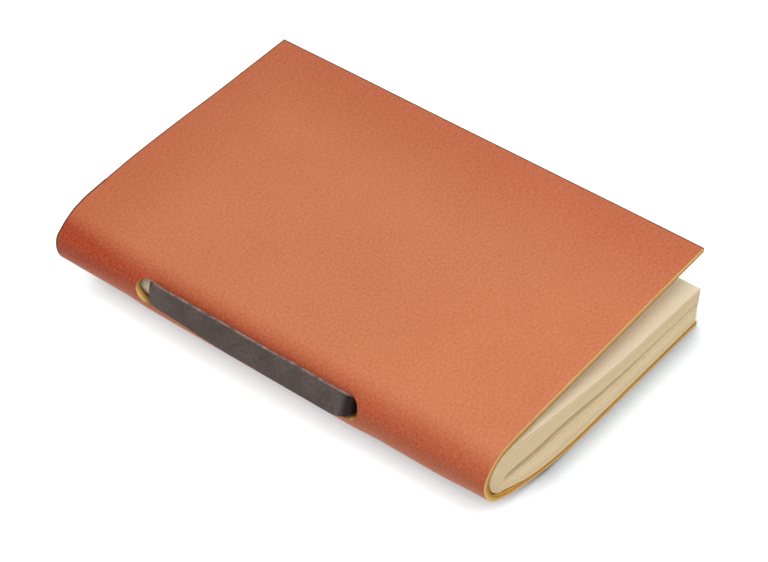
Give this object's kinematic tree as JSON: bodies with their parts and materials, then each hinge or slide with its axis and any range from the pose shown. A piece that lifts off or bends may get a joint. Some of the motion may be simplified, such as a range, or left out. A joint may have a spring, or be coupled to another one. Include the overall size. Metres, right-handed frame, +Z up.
{
  "type": "leather notebook",
  "caption": "Pocket notebook with a wrap-round tan leather cover, nested folded cream sheets and a dark leather strap laced through the half-round spine.",
  "frame": {"origin": "under the middle of the notebook, on the surface it lies on", "axes": "+X from the spine to the fore edge, +Y from the tail to the head, +Z up through the front cover"},
  "size_m": [0.0892, 0.13, 0.0263],
  "materials": {
    "cover_leather": "smooth tan leather with raw cut edges",
    "strap_leather": "matt dark brown leather",
    "paper": "uncoated cream paper"
  },
  "bodies": {
    "back": {"back_cover": "cover_leather", "lower_leaves_1": "paper", "lower_leaves_2": "paper", "lower_leaves_3": "paper", "lower_leaves_4": "paper", "lower_leaves_5": "paper", "lower_leaves_6": "paper"},
    "spine": {"spine_cover": "cover_leather", "binding_strap": "strap_leather", "sheet_fold_1": "paper", "sheet_fold_2": "paper", "sheet_fold_3": "paper", "sheet_fold_4": "paper", "sheet_fold_5": "paper", "sheet_fold_6": "paper"},
    "upper_1": {"upper_leaves_1": "paper"},
    "upper_2": {"upper_leaves_2": "paper"},
    "upper_3": {"upper_leaves_3": "paper"},
    "upper_4": {"upper_leaves_4": "paper"},
    "upper_5": {"upper_leaves_5": "paper"},
    "upper_6": {"upper_leaves_6": "paper"},
    "front": {"front_cover": "cover_leather"}
  },
  "joints": [
    {"name": "spine_turn", "type": "hinge", "parent": "back", "child": "spine", "pos_m": [-0.03443, 0, 0.0137], "axis": [0, -1, 0], "range_deg": [0, 87.5], "deforming": ["spine_cover", "sheet_fold_1", "sheet_fold_2", "sheet_fold_3", "sheet_fold_4", "sheet_fold_5", "sheet_fold_6"]},
    {"name": "page_turn_1", "type": "hinge", "parent": "spine", "child": "upper_1", "pos_m": [-0.03443, 0, 0.0137], "axis": [0, -1, 0], "range_deg": [0, 83.12], "deforming": ["sheet_fold_1"]},
    {"name": "page_turn_2", "type": "hinge", "parent": "spine", "child": "upper_2", "pos_m": [-0.03443, 0, 0.0137], "axis": [0, -1, 0], "range_deg": [0, 84], "deforming": ["sheet_fold_2"]},
    {"name": "page_turn_3", "type": "hinge", "parent": "spine", "child": "upper_3", "pos_m": [-0.03443, 0, 0.0137], "axis": [0, -1, 0], "range_deg": [0, 84.88], "deforming": ["sheet_fold_3"]},
    {"name": "page_turn_4", "type": "hinge", "parent": "spine", "child": "upper_4", "pos_m": [-0.03443, 0, 0.0137], "axis": [0, -1, 0], "range_deg": [0, 85.75], "deforming": ["sheet_fold_4"]},
    {"name": "page_turn_5", "type": "hinge", "parent": "spine", "child": "upper_5", "pos_m": [-0.03443, 0, 0.0137], "axis": [0, -1, 0], "range_deg": [0, 86.62], "deforming": ["sheet_fold_5"]},
    {"name": "page_turn_6", "type": "hinge", "parent": "spine", "child": "upper_6", "pos_m": [-0.03443, 0, 0.0137], "axis": [0, -1, 0], "range_deg": [0, 87.5], "deforming": ["sheet_fold_6"]},
    {"name": "cover_lift", "type": "hinge", "parent": "upper_6", "child": "front", "pos_m": [-0.03443, 0, 0.0137], "axis": [0, -1, 0], "range_deg": [-8, 5], "stiffness_Nm_per_rad": 0.5, "deforming": ["spine_cover"]}
  ],
  "couplings": [
    {"joint": "page_turn_1", "follows": "spine_turn", "ratio": 0.95},
    {"joint": "page_turn_2", "follows": "spine_turn", "ratio": 0.96},
    {"joint": "page_turn_3", "follows": "spine_turn", "ratio": 0.97},
    {"joint": "page_turn_4", "follows": "spine_turn", "ratio": 0.98},
    {"joint": "page_turn_5", "follows": "spine_turn", "ratio": 0.99},
    {"joint": "page_turn_6", "follows": "spine_turn", "ratio": 1}
  ]
}
